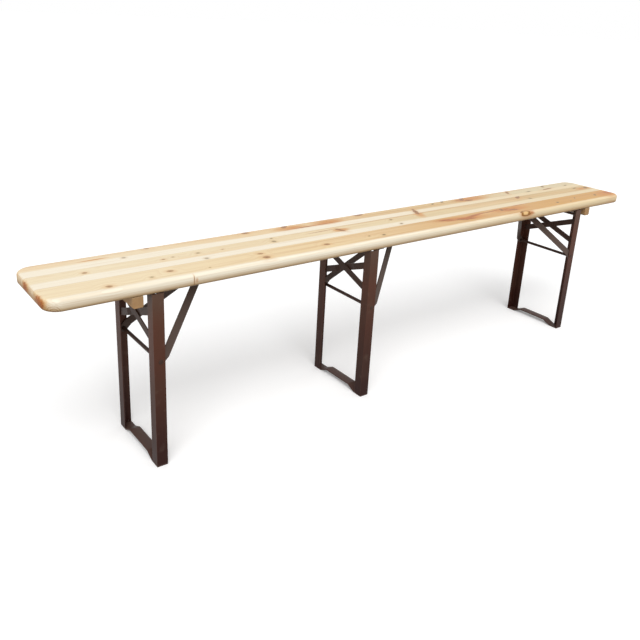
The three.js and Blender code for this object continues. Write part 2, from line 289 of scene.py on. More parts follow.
def smooth_copy(name, node, edge_radius):
    """A merged copy of a CAD node. Its sharp edges are eased, and their new faces marked as arrises."""
    shape = bmesh.new()
    shape.from_mesh(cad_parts[node].data)
    bmesh.ops.remove_doubles(shape, verts=shape.verts, dist=merge_distance)
    bmesh.ops.dissolve_limit(shape, angle_limit=flat_angle, verts=shape.verts, edges=shape.edges)
    arris = shape.faces.layers.float.new("arris")
    if edge_radius:
        whole = [edge for edge in shape.edges if edge.is_manifold]
        sharp = [edge for edge in whole if edge.calc_face_angle() > square_angle]
        eased = bmesh.ops.bevel(
            shape, geom=sharp, offset=edge_radius, segments=2, profile=0.5, affect="EDGES",
            clamp_overlap=True,
        )
        for face in eased["faces"]:
            face[arris] = 1
    mesh = keep_mesh(name, shape)
    shade_smooth(mesh, solid_crease)
    piece = new_object(name, mesh)
    if edge_radius:
        weighted = piece.modifiers.new("flat faces stay flat", "WEIGHTED_NORMAL")
        weighted.keep_sharp = True
    return piece


def mark_cuts(piece, fibre_axis):
    """Notes on each face how squarely it cuts the fibres, and how far it turns down from the light."""
    mesh = piece.data
    across = mesh.attributes.new("end_cut", "FLOAT", "FACE")
    across.data.foreach_set("value", [abs(face.normal[fibre_axis]) for face in mesh.polygons])
    turned = mesh.attributes.new("turned_down", "FLOAT", "FACE")
    turned.data.foreach_set("value", [1 - face.normal.z for face in mesh.polygons])


def dress(piece, material, body, node=None):
    """Gives a piece its finish and its body, and hides the CAD node that it stands for, if any."""
    piece.data.materials.clear()
    piece.data.materials.append(material)
    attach(piece, body)
    if node:
        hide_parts(node)


def nearest_knot(graph, place, knots):
    """How far away the closest of these knots is, counted in its own size.

    A knot has a centre, a size and a lean in degrees. With two numbers it runs right through the
    plank, and with three it keeps to one place on a side or an end.
    """
    nearest = no_knot_distance
    for centre, size, lean in knots:
        squeeze = {
            "Vector": place,
            "Location": (*centre, 0)[:3],
            "Rotation": (0, 0, math.radians(lean)),
            "Scale": (*size, through_knot_depth)[:3],
        }
        local = graph.node("ShaderNodeMapping", {"vector_type": "TEXTURE"}, squeeze)
        distance = graph.node("ShaderNodeVectorMath", {"operation": "LENGTH"}, {0: local}, 1)
        nearest = distance.least(nearest)
    return nearest


def read_log(graph, place, wood):
    """How the log runs through each place in a piece of wood, which lies along x.

    Its rings go round a pith below the piece and swerve round the knots, and its fibres are noise
    drawn out along x. Each kind of knot has its distance, frayed by the grain.
    """
    def near(kind):
        return nearest_knot(graph, place, wood.get(kind, ()))

    log = SimpleNamespace(place=place)
    log.x, log.y, log.z = (
        graph.node("ShaderNodeSeparateXYZ", None, {0: place}, part) for part in range(3)
    )
    log.shifted = graph.shift(graph.stretch(place, (1.6, 7, 7)), (wood["seed"], 0, 0))
    log.sway = graph.noise(log.shifted, 1.0, 2) - 0.5
    log.ripple = graph.grain(place, (30, 130, 130), 3) - 0.5
    feather = graph.grain(log.shifted, (6, 14, 14), 3) - 0.5
    log.live = near("live_knots") + log.ripple * 0.8
    log.dead = near("dead_knots") + log.ripple * 0.6
    log.flame = near("flames") + feather * 1.5
    log.blush = near("blushes") + feather
    log.hollow = near("resin_knots") + log.ripple
    log.curl = near("curls") + log.ripple * 0.3

    around_knots = log.live.least(log.dead).fall(0.6, 5.5)
    across = log.y - wood["pith"][0] + log.sway * ring_sway
    depth = log.z - wood["pith"][1]
    even_radius = (across * across + depth * depth) ** 0.5
    radius = even_radius + log.ripple * ring_ripple + around_knots * knot_swerve
    ring = (radius / wood["ring_spacing"]).fraction()
    log.latewood = ring.rise(0.35, 0.9) * ring.fall(0.92, 1.0)
    log.fibre = graph.grain(place, (14, 900, 900), 3)
    log.end_cut = graph.attribute("end_cut").rise(0.45, 0.95)
    log.turned_down = graph.attribute("turned_down")
    return log


def clear_wood(graph, log, wood):
    """The wood between its knots: heartwood that warms along the board, sapwood, grain and end grain."""
    warm_steps = ((-1.0, -0.3), (-0.3, 0.25), (0.45, 0.75))
    tone = colour(wood["heart"][0])
    for (start, end), warmer in zip(warm_steps, wood["heart"][1:]):
        tone = graph.mix(log.x.rise(start, end), tone, colour(warmer))
    band = graph.grain(log.shifted, (1, 3, 3), 1)
    tone = tone.stained(band.rise(0.5, 0.75) * 0.3, "dfb27a")
    streak = graph.grain(log.place, (2.2, 95, 95), 3)
    tone = tone.stained(streak.rise(0.48, 0.75) * log.x.rise(-1.1, 0.2) * 0.4, "b97c43")

    left_edge, right_edge = wood["sap_edge"]
    edge = log.x.rise(-1.1, 0.9) * (right_edge - left_edge) + left_edge
    sapwood = (log.y - edge + log.sway * sap_sway + log.ripple * sap_ripple).fall(-0.005, 0.006)
    sap_tone = graph.mix(log.x.rise(-0.3, 0.9), colour("f1e9d5"), colour("e4d2ac"))
    tone = graph.mix(sapwood, tone, sap_tone)

    tone = tone.stained(log.latewood * 0.13, "c08d55")
    tone = tone.stained(log.fibre.rise(0.35, 0.75) * 0.12, "cfa675")
    thread = graph.grain(log.shifted, (2.5, 36, 36), 2)
    tone = tone.stained(thread.rise(0.52, 0.72) * 0.2, "b98a55")
    blotch = graph.grain(log.place, (20, 38, 38), 2).rise(0.42, 0.6)
    tone = tone.stained(log.end_cut * (0.5 + log.latewood * 0.3), wood["end"][0])
    return tone.stained(log.end_cut * blotch * 0.25, wood["end"][1])


def knotted(graph, tone, log):
    """Lays the knots over clear wood.

    Blushes and veined flames come first, then live knots with a dark rim and middle, dead knots
    that are dark right through, resin knots with a pale middle, and the lines of curled grain.
    Live and dead knots are paler towards the left end.
    """
    tone = tone.stained(log.blush.fall(0.3, 1.4) * 0.8, "c67f35")
    tone = tone.stained(log.flame.fall(0.4, 1.35) * 0.8, "bb6c34")
    veins = graph.grain(log.shifted, (9, 60, 60), 3).rise(0.5, 0.58) * log.flame.fall(0.6, 1.4)
    tone = tone.stained(veins * 0.75, "7f431e")

    ripeness = 0.58 + log.x.rise(-1.1, 0.4) * 0.42
    tone = tone.stained(log.live.fall(0.9, 3.2) * 0.35, "d2a267")
    tone = tone.stained(log.live.fall(0.85, 1.3) * ripeness * 0.9, "8c5f3e")
    inside = graph.mix(log.live.rise(0.15, 0.45), colour("6f4526"), colour("ac7b48"))
    tone = graph.mix(log.live.fall(0.6, 0.85) * ripeness * 0.8, tone, inside)
    tone = tone.stained(log.dead.fall(0.9, 2.4) * 0.3, "c09a62")
    tone = tone.stained(log.dead.fall(0.5, 1.15) * ripeness * 0.85, "6f5835")

    tone = tone.stained(log.hollow.fall(1.2, 1.5), "8f5f28")
    tone = tone.stained(log.hollow.fall(0.6, 0.9) * 0.9, "e3bd82")
    curl_line = (log.curl * 3.3).fraction().rise(0.45, 0.8) * log.curl.fall(0.7, 1.3)
    return tone.stained(curl_line * 0.55, "ad8450")


def emboss(graph, shader, height, strength, distance):
    """Makes a height felt in the way that a surface takes the light."""
    values = {"Strength": strength, "Distance": distance, "Height": height}
    graph.node("ShaderNodeBump", None, values).feed(shader, "Normal")


def finish_wood(graph, shader, place, wood):
    """Gives a piece its wood, with painted shade low on its sides and on its underside, and a fine dark
    line at a glued joint.
    """
    log = read_log(graph, place, wood)
    tone = knotted(graph, clear_wood(graph, log, wood), log)
    # Painted shade: darkens the lower part of each side, and darkens every face that turns downwards
    # further.
    painted_side_shade = log.turned_down.rise(0.2, 1.1) * log.z.fall(*side_shade_heights)
    tone = tone.stained(painted_side_shade, wood["painted_side_shade"], "MULTIPLY")
    tone = tone.stained(log.turned_down.rise(1.0, 1.9) * 0.7, "dcd2c6", "MULTIPLY")
    joint = abs(log.y - wood["joints"][0]).least(abs(log.y - wood["joints"][1]))
    tone = tone.stained(joint.fall(*joint_half_widths) * 0.4, "a9794a")
    tone.feed(shader, "Base Color")
    rough = wood["roughness"] + log.fibre * 0.12 + log.end_cut * 0.25
    rough.feed(shader, "Roughness")
    raised = log.fibre * 0.5 + log.latewood * 0.5
    height = raised - log.live.fall(0.6, 1.1) - log.dead.fall(0.7, 1.1)
    emboss(graph, shader, height, 0.12, 0.0006)


middle_low, middle_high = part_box("plank_middle")
underside = middle_low[2]
planks = {
    "plank_front": {
        "seed": 3.1, "pith": (-0.07, 0.43), "ring_spacing": 0.0046, "sap_edge": (-0.111, -0.112),
        "heart": ("ead9b6", "e4cb9e", "d2aa71", "cd9c54"),
        "live_knots": [
            ((-0.948, -0.099), (0.0078, 0.0070), 0), ((-0.784, -0.073), (0.0080, 0.0052), -10),
            ((-0.521, -0.098), (0.0100, 0.0085), 0), ((-0.521, -0.066), (0.0080, 0.0050), -12),
            ((-0.313, -0.084), (0.0090, 0.0065), 0), ((0.240, -0.086), (0.0200, 0.0035), -28),
            ((0.462, -0.062), (0.0120, 0.0060), 50), ((0.508, -0.078), (0.0170, 0.0050), -15),
            ((0.665, -0.036), (0.0180, 0.0040), -8), ((-0.746, -0.125, 0.497), (0.0010, 0.006, 0.012), 0),
        ],
        "dead_knots": [
            ((-0.840, -0.090), (0.0055, 0.0048), 0), ((-0.688, -0.096), (0.0030, 0.0025), 0),
            ((-0.105, -0.091), (0.0080, 0.0055), 20), ((-0.153, -0.080), (0.0050, 0.0030), 30),
            ((0.745, -0.087), (0.0080, 0.0055), 30), ((0.810, -0.098), (0.0060, 0.0030), 30),
            ((0.868, -0.074), (0.0090, 0.0030), 35), ((0.990, -0.080), (0.0110, 0.0060), 45),
        ],
        "flames": [
            ((0.190, -0.068), (0.045, 0.0110), -10), ((0.252, -0.081), (0.050, 0.0120), -12),
            ((0.330, -0.065), (0.055, 0.0070), 8), ((0.430, -0.057), (0.060, 0.0035), 5),
            ((0.484, -0.070), (0.044, 0.0130), -20), ((0.610, -0.041), (0.075, 0.0040), 5),
            ((-1.100, -0.080, 0.497), (0.007, 0.026, 0.010), 0), ((1.080, -0.080), (0.022, 0.0140), 0),
            ((0.552, -0.121, 0.505), (0.014, 0.010, 0.004), 0),
        ],
        "blushes": [
            ((0.250, -0.075), (0.120, 0.0200), -8), ((0.500, -0.070), (0.100, 0.0240), 0),
            ((1.066, -0.085), (0.075, 0.0360), 10), ((0.526, -0.123, 0.504), (0.040, 0.014, 0.011), 0),
            ((-1.100, -0.085, 0.497), (0.010, 0.034, 0.013), 0),
            ((-0.739, -0.129, 0.496), (0.0045, 0.005, 0.0095), 0),
        ],
        "resin_knots": [((0.518, -0.120, 0.505), (0.019, 0.010, 0.0080), 0)],
        "curls": [((-1.080, -0.118, 0.479), (0.016, 0.030, 0.019), 0)],
    },
    "plank_middle": {
        "seed": 7.7, "pith": (0.035, 0.44), "ring_spacing": 0.0039, "sap_edge": (-0.003, -0.012),
        "heart": ("e9dab9", "e6d4ae", "dac59a", "d2ba89"),
        "live_knots": [
            ((-0.965, 0.012), (0.0056, 0.0048), 0), ((-0.762, 0.013), (0.0045, 0.0030), 0),
            ((-0.590, 0.014), (0.0040, 0.0020), 0), ((-0.192, 0.008), (0.0170, 0.0060), -67),
            ((0.167, 0.056), (0.0290, 0.0075), 64), ((0.672, 0.038), (0.0270, 0.0075), 40),
        ],
        "dead_knots": [
            ((-0.662, 0.017), (0.0060, 0.0050), 0), ((-0.662, -0.031), (0.0065, 0.0055), 0),
            ((-0.430, 0.007), (0.0075, 0.0080), 20), ((-0.422, 0.033), (0.0050, 0.0040), 30),
            ((0.025, 0.022), (0.0070, 0.0050), 20), ((0.026, -0.026), (0.0070, 0.0050), 30),
            ((0.700, 0.001), (0.0090, 0.0060), -20), ((1.068, 0.014), (0.0140, 0.0090), 20),
            ((1.015, 0.028), (0.0140, 0.0040), 10), ((-0.733, 0.019), (0.0040, 0.0030), 0),
        ],
        "flames": [
            ((-0.250, 0.023), (0.060, 0.0016), 2), ((-1.101, 0.024, 0.497), (0.006, 0.018, 0.010), 0),
        ],
        "blushes": [
            ((0.160, 0.040), (0.045, 0.0180), 70), ((1.050, 0.012), (0.050, 0.0160), 0),
            ((-0.190, 0.006), (0.030, 0.0140), 0), ((-1.101, 0.020, 0.497), (0.010, 0.028, 0.013), 0),
        ],
    },
    "plank_back": {
        "seed": 12.4, "pith": (0.12, 0.425), "ring_spacing": 0.0043, "sap_edge": (0.080, 0.072),
        "heart": ("ebdab9", "e4ca9f", "d7bb8a", "dacca8"),
        "live_knots": [
            ((-0.763, 0.115), (0.0080, 0.0050), 0), ((-0.461, 0.112), (0.0110, 0.0080), -10),
            ((-0.325, 0.112), (0.0140, 0.0075), 40), ((-0.035, 0.116), (0.0180, 0.0105), 0),
            ((0.167, 0.056), (0.0290, 0.0075), 64), ((0.445, 0.109), (0.0190, 0.0080), 50),
            ((0.458, 0.083), (0.0200, 0.0050), -5), ((0.690, 0.100), (0.0170, 0.0055), 55),
            ((0.895, 0.070), (0.0280, 0.0040), 5),
        ],
        "dead_knots": [
            ((-0.843, 0.072), (0.0060, 0.0050), 0), ((-0.495, 0.120), (0.0050, 0.0030), 0),
            ((0.297, 0.106), (0.0110, 0.0045), 30), ((0.350, 0.113), (0.0130, 0.0060), 40),
            ((0.912, 0.106), (0.0130, 0.0070), 40), ((0.785, 0.074), (0.0130, 0.0045), 0),
            ((1.025, 0.078), (0.0100, 0.0040), 10),
        ],
        "flames": [((-0.245, 0.082), (0.100, 0.0035), 0), ((0.440, 0.092), (0.040, 0.0100), -10)],
        "blushes": [
            ((-0.315, 0.095), (0.060, 0.0160), 0), ((-0.175, 0.095), (0.060, 0.0220), 0),
            ((0.480, 0.098), (0.090, 0.0260), 0), ((-0.915, 0.092), (0.040, 0.0040), 0),
        ],
    },
}
# Painted shade: the side colour below is multiplied over the planks' lower sides and undersides.
lacquered = {
    "joints": (middle_low[1], middle_high[1]), "roughness": 0.4, "end": ("dfbd8a", "b3733f"),
    "painted_side_shade": "bea27c",
}
for node, wood in planks.items():
    lacquer, graph, shader, place = new_finish("lacquered spruce, " + node, {
        "Specular IOR Level": 0.2, "Coat Weight": 0.08, "Coat Roughness": 0.25,
    })
    finish_wood(graph, shader, place, lacquered | wood)
    piece = smooth_copy("spruce_" + node, node, 0)
    mark_cuts(piece, 0)
    dress(piece, lacquer, "bench", node)


# Battens
# Two bars of planed softwood across the underside, just outboard of the end frames, glued and
# screwed from below. They hold the planks flat. Their wood is left raw, so it is duller and browner.
batten_arris = 0.0008
off_the_piece = -2.0
for node, seed in (("batten_left", 21.0), ("batten_right", 33.0)):
    low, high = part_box(node)
    middle_x = (low[0] + high[0]) / 2
    raw_wood, graph, shader, place = new_finish("raw softwood, " + node, {})
    quarter_turn = {"Vector": place, "Angle": math.pi / 2}
    along_y = graph.node("ShaderNodeVectorRotate", {"rotation_type": "Z_AXIS"}, quarter_turn)
    # Painted shade: the side colour given here is multiplied over the batten's sides and underside.
    finish_wood(graph, shader, along_y, {
        "seed": seed, "pith": (middle_x + 0.02, underside - 0.06), "ring_spacing": 0.0031,
        "sap_edge": (off_the_piece, off_the_piece), "joints": (off_the_piece, off_the_piece),
        "heart": ["d2b890"] * 4, "end": ("bd9f7e", "9a7a5a"), "painted_side_shade": "dacab4", "roughness": 0.62,
        "live_knots": [((0.05, middle_x), (0.008, 0.006), 0)],
        "dead_knots": [((-0.07, middle_x + 0.008), (0.004, 0.003), 0)],
        "flames": [((-0.02, middle_x), (0.03, 0.01), 0)],
    })
    piece = smooth_copy("raw_" + node, node, batten_arris)
    mark_cuts(piece, 1)
    dress(piece, raw_wood, "bench", node)


# Legs
# Rolled equal angle, its corner outboard, sawn off square top and bottom. The whole frame is welded,
# dipped and stoved in dark red-brown enamel and scuffed where feet scrape it. A painted reflection
# makes the enamel darker near the ground and lighter and greyer towards the top.
# Painted reflection: the enamel lightens from the ground up to the first height, and greys between the
# next two.
painted_reflection_height = 0.46
painted_grey_top_heights = (0.38, 0.478)


def enamel(name, low_tone, high_tone, scuff_height):
    """Stoved enamel, thin on the arrises, with dust, scuffs and rust specks, and a painted reflection that
    makes it darker near the ground and lighter and greyer towards the top.
    """
    material, graph, shader, place = new_finish(name, {"Specular IOR Level": 0.12})
    z = graph.node("ShaderNodeSeparateXYZ", None, {0: place}, 2)
    arris = graph.attribute("arris")
    cloud = graph.noise(place, 9, 4)
    speck = graph.noise(place, 260, 3)
    orange_peel = graph.noise(place, 420, 2)
    dust = graph.noise(place, 40, 5).rise(0.55, 0.8) * 0.25
    scrape = graph.grain(place, (160, 160, 60), 3)
    low_down = z.fall(scuff_height * 0.2, scuff_height)
    worn = arris * (0.25 + scrape.rise(0.5, 0.75) * 0.5)
    scuff = (scrape + low_down * 0.1 + speck * 0.08 + arris * 0.05).rise(0.82, 0.88)
    rust = (speck + cloud * 0.35 + low_down * 0.06 + arris * 0.04).rise(0.95, 1.02)

    # Painted reflection: dark low down, lighter and then greyer towards the top.
    tone = graph.mix(z.rise(0.0, painted_reflection_height), colour(low_tone), colour(high_tone))
    tone = tone.stained(z.rise(*painted_grey_top_heights) * 0.6, "5d4c40")
    tone = tone.stained(cloud.rise(0.42, 0.7) * 0.3, "4a372c")
    tone = tone.stained(dust, "6b5b50")
    tone = tone.stained(worn, "75554a")
    tone = tone.stained(rust * 0.6, "7c4526")
    tone = tone.stained(scuff * 0.8, "8d8680")
    tone.feed(shader, "Base Color")
    rough = 0.36 + cloud * 0.2 + dust * 0.5 + rust * 0.3
    rough.feed(shader, "Roughness")
    (scuff * 0.75).feed(shader, "Metallic")
    emboss(graph, shader, orange_peel * 0.5 - scuff * 0.6 + rust * 0.5, 0.2, 0.0004)
    return material


# Each frame's strut, guide and catch lie on this side of it along x
frame_sides = {"left": 1, "middle": 1, "right": -1}
leg_arris = 0.0006
leg_enamel = enamel("red-brown enamel, legs", "2f1611", "5a372a", 0.05)


def dress_solids(parts, arris, finish, body_part=None):
    """Dresses these parts of each frame in their own shapes. With no body part they ride on the bench."""
    for frame_name in frame_sides:
        body = f"{frame_name}_{body_part}" if body_part else "bench"
        for part in parts:
            node = f"{frame_name}_{part}"
            dress(smooth_copy("steel_" + node, node, arris), finish, body, node)


dress_solids(("leg_front", "leg_back"), leg_arris, leg_enamel, "leg_frame")


# Foot bars
# Flat steel 30 mm wide, one under both legs of a frame, bent up between them so that only its
# two ends stand on the ground. The bends are soft, and the rolled edges are rounded.
bar_crease = 50


class Tree(Graph):
    """A Geometry Nodes tree with a geometry input and one named input for each size."""

    def __init__(self, name, sizes):
        super().__init__(bpy.data.node_groups.new(name, "GeometryNodeTree"))
        interface = self.tree.interface
        interface.new_socket("Geometry", in_out="INPUT", socket_type="NodeSocketGeometry")
        for size, kind in sizes.items():
            interface.new_socket(size, in_out="INPUT", socket_type=kind)
        interface.new_socket("Geometry", in_out="OUTPUT", socket_type="NodeSocketGeometry")
        entry = self.tree.nodes.new("NodeGroupInput")
        self.inputs = {socket.name: Field(self, socket) for socket in entry.outputs if socket.name}

    def line(self):
        """The edges that the tree is given, as a curve."""
        return self.node("GeometryNodeMeshToCurve", None, {"Mesh": self.inputs["Geometry"]})

    def fillet(self, curve, radius, count):
        """Rounds the corners of a curve by the input of this name, each with so many points."""
        rounding = {"Curve": curve, "Radius": self.inputs[radius], "Count": count, "Limit Radius": True}
        return self.node("GeometryNodeFilletCurve", {"mode": "POLY"}, rounding)

    def close(self, geometry, material):
        """Ends the tree with real geometry that wears the material."""
        real = self.node("GeometryNodeRealizeInstances", None, {"Geometry": geometry})
        painted = self.node("GeometryNodeSetMaterial", None, {"Geometry": real, "Material": material})
        end = self.tree.nodes.new("NodeGroupOutput")
        self.tree.links.new(painted.socket, end.inputs["Geometry"])

    def close_with_bar(self, line, section, material):
        """Ends the tree with a solid bar of this section along the line."""
        swept = {"Curve": line, "Profile Curve": section, "Fill Caps": True}
        self.close(self.node("GeometryNodeCurveToMesh", None, swept), material)

    def grow(self, name, points, edges, sizes):
        """Runs the tree on a line or on loose points, and keeps the result as one plain mesh."""
        seedling = bpy.data.meshes.new(name + " line")
        seedling.from_pydata(points, edges, [])
        carrier = new_object(name + " line", seedling)
        modifier = carrier.modifiers.new("tree", "NODES")
        modifier.node_group = self.tree
        for item in self.tree.interface.items_tree:
            if item.in_out == "INPUT" and item.name in sizes:
                modifier[item.identifier] = sizes[item.name]
        ready = carrier.evaluated_get(bpy.context.evaluated_depsgraph_get())
        mesh = bpy.data.meshes.new_from_object(ready)
        bpy.data.objects.remove(carrier)
        bpy.data.meshes.remove(seedling)
        mesh.name = name
        shade_smooth(mesh, bar_crease)
        return new_object(name, mesh)


def chain(points):
    """The edges from each point to the next."""
    return [(i, i + 1) for i in range(len(points) - 1)]


length_input = "NodeSocketFloat"
foot_enamel = enamel("red-brown enamel, foot bars", "4b3731", "523f38", 0.02)
flat_bar = Tree("bent flat bar", {
    "Width": length_input, "Thickness": length_input,
    "Bend radius": length_input, "Edge radius": length_input,
})
line = flat_bar.fillet(flat_bar.line(), "Bend radius", count=8)
line = flat_bar.node("GeometryNodeSetCurveNormal", {"mode": "Z_UP"}, {"Curve": line})
section_size = {"Width": flat_bar.inputs["Width"], "Height": flat_bar.inputs["Thickness"]}
section = flat_bar.node("GeometryNodeCurvePrimitiveQuadrilateral", None, section_size)
section = flat_bar.fillet(section, "Edge radius", count=3)
flat_bar.close_with_bar(line, section, foot_enamel)

foot_thickness = 0.004
foot_flat = 0.033
foot_ramp = 0.030
foot_bend_radius = 0.014
foot_edge_radius = 0.0009
for frame_name in frame_sides:
    node = frame_name + "_foot_bar"
    low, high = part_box(node)
    middle_x = (low[0] + high[0]) / 2
    ground = low[2] + foot_thickness / 2
    crown = high[2] - foot_thickness / 2
    half = high[1]
    half_line = [(half, ground), (half - foot_flat, ground), (half - foot_flat - foot_ramp, crown)]
    route = [(-y, z) for y, z in half_line] + half_line[::-1]
    points = [(middle_x, y, z) for y, z in route]
    bar = flat_bar.grow("steel_" + node, points, chain(points), {
        "Width": high[0] - low[0], "Thickness": foot_thickness,
        "Bend radius": foot_bend_radius, "Edge radius": foot_edge_radius,
    })
    dress(bar, foot_enamel, frame_name + "_leg_frame", node)


# Braces
# Two pieces of flat bar that cross between the legs of a frame, welded to their outboard flanges.
# One lies flat, and the other is cranked a few millimetres so that it passes over it.
brace_arris = 0.0006
# Painted shade: a copy of the frame's enamel, darker and less red higher up, for the braces, axles, rods,
# brackets and guides.
shaded_bar_enamel = enamel("red-brown enamel, bars", "33201b", "46322a", 0.02)
dress_solids(("brace_flat", "brace_cranked"), brace_arris, shaded_bar_enamel, "leg_frame")


# Axles and rods
# Plain round bar. The axle is welded between the legs and turns in the hinge brackets. The rod
# goes through both legs and is peened over, and the strut turns on it.
bar_sides = 36


def join_rings(shape, rings):
    """Faces between each ring of corners and the next."""
    for ring, after in zip(rings, rings[1:]):
        for i in range(len(ring)):
            j = (i + 1) % len(ring)
            shape.faces.new((ring[i], ring[j], after[j], after[i]))


def turned_bar(name, node, profile):
    """Round bar across the bench, turned from pairs of a radius and a place along it."""
    low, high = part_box(node)
    centre = Vector(((low[0] + high[0]) / 2, 0, (low[2] + high[2]) / 2))
    angles = [2 * math.pi * i / bar_sides for i in range(bar_sides)]
    shape = bmesh.new()
    ends = [shape.verts.new(centre + Vector((0, profile[i][1], 0))) for i in (0, -1)]
    rings = []
    for radius, y in profile:
        round_line = [Vector((radius * math.cos(a), y, radius * math.sin(a))) for a in angles]
        rings.append([shape.verts.new(centre + corner) for corner in round_line])
    join_rings(shape, rings)
    for ring, end in zip((rings[0], rings[-1]), ends):
        for i in range(bar_sides):
            shape.faces.new((end, ring[i], ring[(i + 1) % bar_sides]))
    bmesh.ops.recalc_face_normals(shape, faces=shape.faces)
    mesh = keep_mesh(name, shape)
    shade_smooth(mesh, bar_crease)
    return new_object(name, mesh)


rod_radius = 0.005
# How far the peened head reaches across and up at each step, from its crown to the leg
head_shares = ((0.35, 1.0), (0.62, 0.92), (0.84, 0.7), (0.96, 0.4), (1.0, 0.08), (1.0, 0.0))
for frame_name in frame_sides:
    node = frame_name + "_hinge_axle"
    low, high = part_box(node)
    radius = (high[2] - low[2]) / 2
    axle = turned_bar("steel_" + node, node, [(radius, low[1]), (radius, high[1])])
    dress(axle, shaded_bar_enamel, frame_name + "_leg_frame", node)

    node = frame_name + "_strut_rod"
    low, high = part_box(node)
    leg_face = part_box(frame_name + "_leg_back")[1][1]
    head_radius = (high[2] - low[2]) / 2
    head_height = high[1] - leg_face
    head = [(head_radius * across, leg_face + head_height * up) for across, up in head_shares]
    half_profile = head + [(rod_radius, leg_face)]
    profile = [(radius, -y) for radius, y in half_profile] + half_profile[::-1]
    rod = turned_bar("steel_" + node, node, profile)
    dress(rod, shaded_bar_enamel, frame_name + "_leg_frame", node)


# Struts
# Two arms of flat bar turn on the rod just inside the legs and run together towards the middle,
# where a fork plate joins their tips and rides along the guide.
strut_arris = 0.0007
# Painted reflection: a lighter, greyer copy of the frame's enamel, for the bright ground reflected on the
# arms under the board.
lightened_strut_enamel = enamel("red-brown enamel, struts", "483530", "5a4c45", 0.02)
dress_solids(("strut_arm_front", "strut_arm_back", "strut_fork"), strut_arris, lightened_strut_enamel, "strut")


# Hinge brackets
# Two to a frame, pressed from 3 mm sheet and enamelled with it. Each has a base that is screwed
# under the board and an ear that carries the axle.
bracket_arris = 0.0005
dress_solids(("hinge_bracket_front", "hinge_bracket_back"), bracket_arris, shaded_bar_enamel)


# Guides
# Round bar that stands a little off the board. Its ends are bent up to the board, hammered out
# into flat pads with round ends, and drilled for a screw.
guide_radius = 0.003
guide_bend = 0.016
guide_bend_steps = 8
guide_overlap = 0.004
pad_thickness = 0.003
pad_reach = 0.027
pad_trim = 0.0015
pad_end_steps = 8
round_bar = Tree("bent round bar", {"Radius": length_input})
circle = {"Resolution": 24, "Radius": round_bar.inputs["Radius"]}
section = round_bar.node("GeometryNodeCurvePrimitiveCircle", None, circle)
round_bar.close_with_bar(round_bar.line(), section, shaded_bar_enamel)


def add_pad(shape, end, radius):
    """A flat pad against the board, from this place on along x, with half-round ends."""
    corners = []
    for centre_x, first in ((end + pad_reach - radius, -90), (end + radius, 90)):
        for step in range(pad_end_steps + 1):
            angle = math.radians(first + step * 180 / pad_end_steps)
            x = centre_x + radius * math.cos(angle)
            y = radius * math.sin(angle)
            corners.append(shape.verts.new((x, y, underside - pad_thickness)))
    grown = bmesh.ops.extrude_face_region(shape, geom=[shape.faces.new(corners)])
    raised = [item for item in grown["geom"] if isinstance(item, bmesh.types.BMVert)]
    bmesh.ops.translate(shape, verts=raised, vec=(0, 0, pad_thickness))


for frame_name in frame_sides:
    node = frame_name + "_guide_bar"
    low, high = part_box(node)
    run_height = low[2] + guide_radius
    pad_height = underside - pad_thickness / 2
    bend_start = low[0] + pad_reach - guide_overlap
    bend_length = guide_bend + guide_overlap
    points = []
    for step in range(guide_bend_steps + 1):
        share = step / guide_bend_steps
        drop = share * share * (3 - 2 * share)
        z = pad_height + (run_height - pad_height) * drop
        points.append((bend_start + bend_length * share, 0, z))
    points += [(low[0] + high[0] - x, y, z) for x, y, z in reversed(points)]
    bar = round_bar.grow("steel_" + node, points, chain(points), {"Radius": guide_radius})
    shape = bmesh.new()
    shape.from_mesh(bar.data)
    for end in (low[0], high[0] - pad_reach):
        add_pad(shape, end, high[1] - pad_trim)
    bmesh.ops.recalc_face_normals(shape, faces=shape.faces)
    shape.to_mesh(bar.data)
    shape.free()
    bar.data.set_sharp_from_angle(angle=math.radians(bar_crease))
    dress(bar, shaded_bar_enamel, "bench", node)


# Catches
# A strip of oiled spring steel beside each guide, screwed at its foot. Its nose drops in behind the
# fork when the bench stands, and a thumb pushes it up to let the strut go.
catch_arris = 0.0002
spring_steel, graph, shader, place = new_finish("oiled spring steel", {"Metallic": 0.9})
brushed = graph.grain(place, (60, 900, 900), 3)
heat = graph.noise(place, 30, 2).rise(0.55, 0.8) * 0.4
tone = graph.mix(brushed, colour("6a6866"), colour("85827d")).stained(heat, "5d5348")
tone.feed(shader, "Base Color")
(0.28 + brushed * 0.2).feed(shader, "Roughness")
dress_solids(("catch_spring",), catch_arris, spring_steel, "catch")


# Welds
# Short hand-laid beads, each a row of overlapping puddles, laid before the enamel: round the foot
# of every leg, down both ends of every brace, and where the arm tips meet the fork.
bead_radius = 0.0019
bead_spacing = 0.0017
bead_rise = 0.0004
bead_stop = 0.003
angle_thickness = 0.003
root_gap = 0.0006
brace_bead_depth = 0.0008
brace_end_height = 0.020
tip_tolerance = 0.002
strut_seed_step = 10
weld_bead = Tree("weld bead", {
    "Bead radius": length_input, "Spacing": length_input, "Seed": "NodeSocketInt",
})
steps = {"Curve": weld_bead.line(), "Length": weld_bead.inputs["Spacing"]}
line = weld_bead.node("GeometryNodeResampleCurve", {"mode": "LENGTH"}, steps)
drop = {"Segments": 8, "Rings": 6, "Radius": weld_bead.inputs["Bead radius"]}
puddle = weld_bead.node("GeometryNodeMeshUVSphere", None, drop)
spread = {"Min": 0.8, "Max": 1.1, "Seed": weld_bead.inputs["Seed"]}
jitter = weld_bead.node("FunctionNodeRandomValue", {"data_type": "FLOAT"}, spread, "Value")
laid = {"Points": line, "Instance": puddle, "Scale": jitter}
weld_bead.close(weld_bead.node("GeometryNodeInstanceOnPoints", None, laid), leg_enamel)


